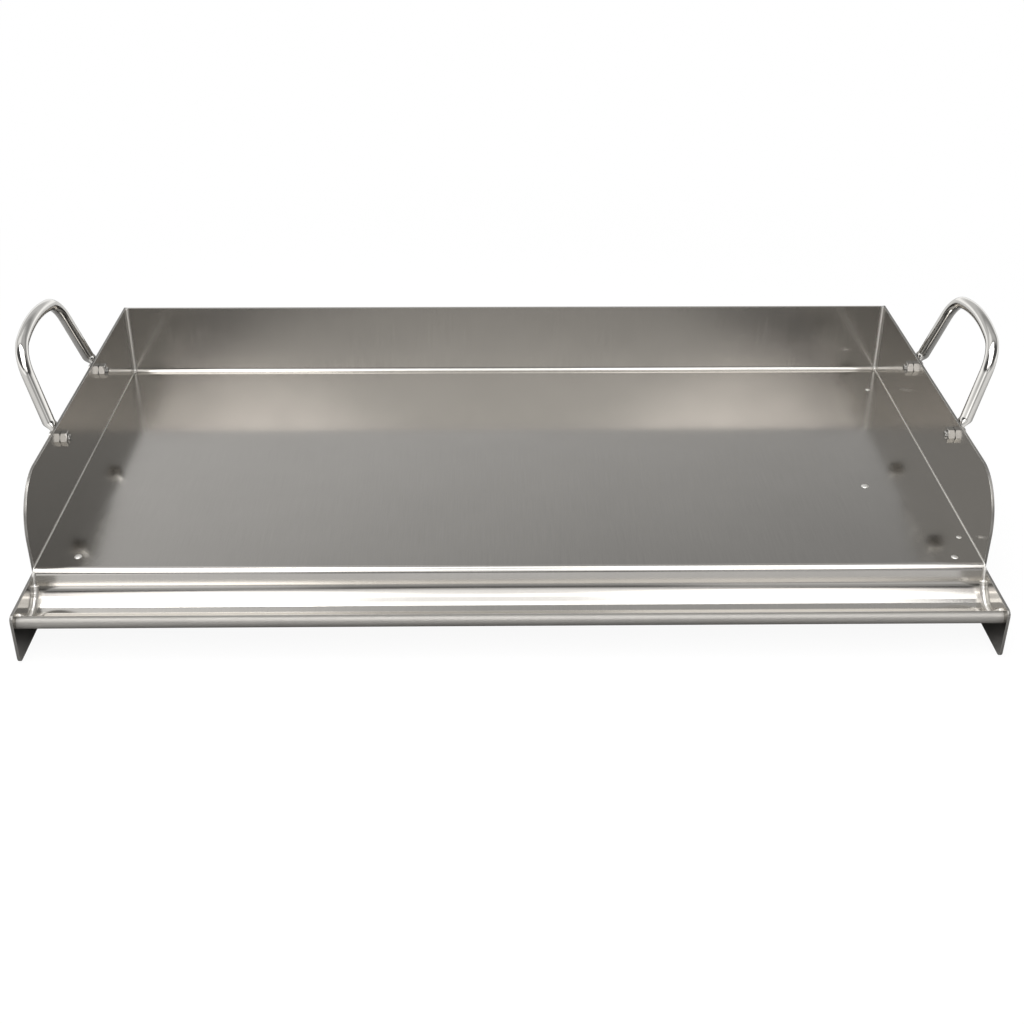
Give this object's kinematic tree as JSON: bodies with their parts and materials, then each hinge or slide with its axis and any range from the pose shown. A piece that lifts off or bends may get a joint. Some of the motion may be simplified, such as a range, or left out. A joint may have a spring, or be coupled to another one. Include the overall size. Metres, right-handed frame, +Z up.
{
  "type": "camp griddle plate",
  "caption": "Stainless drop-on griddle tray with raised back and sides, a front grease trough, side skirts to stand on, a cross brace below and bolt-on loop handles.",
  "frame": {"origin": "centre of the footprint on the surface that the side panels stand on", "axes": "+X to the right along the longest side, +Y from the trough to the back wall, +Z up"},
  "size_m": [0.6896, 0.366, 0.1559],
  "materials": {
    "brushed_sheet": "brushed, grain front to back",
    "brace_bar": "mill",
    "polished_rod": "polished",
    "fastener": "bright"
  },
  "bodies": {
    "griddle": {"cooking_sheet": "brushed_sheet", "left_side_panel": "brushed_sheet", "right_side_panel": "brushed_sheet", "brace_bar_lower": "brace_bar", "brace_bar_upper": "brace_bar", "left_handle": "polished_rod", "right_handle": "polished_rod", "left_front_bolt": "fastener", "left_rear_bolt": "fastener", "right_front_bolt": "fastener", "right_rear_bolt": "fastener"},
    "left_front_nut": {"left_front_nut": "fastener"},
    "left_rear_nut": {"left_rear_nut": "fastener"},
    "right_front_nut": {"right_front_nut": "fastener"},
    "right_rear_nut": {"right_rear_nut": "fastener"}
  },
  "joints": [
    {"name": "left_front_nut_unscrew", "type": "slide", "parent": "griddle", "child": "left_front_nut", "axis": [1, 0, 0], "range_m": [0, 0.008]},
    {"name": "left_rear_nut_unscrew", "type": "slide", "parent": "griddle", "child": "left_rear_nut", "axis": [1, 0, 0], "range_m": [0, 0.008]},
    {"name": "right_front_nut_unscrew", "type": "slide", "parent": "griddle", "child": "right_front_nut", "axis": [-1, 0, 0], "range_m": [0, 0.008]},
    {"name": "right_rear_nut_unscrew", "type": "slide", "parent": "griddle", "child": "right_rear_nut", "axis": [-1, 0, 0], "range_m": [0, 0.008]}
  ]
}
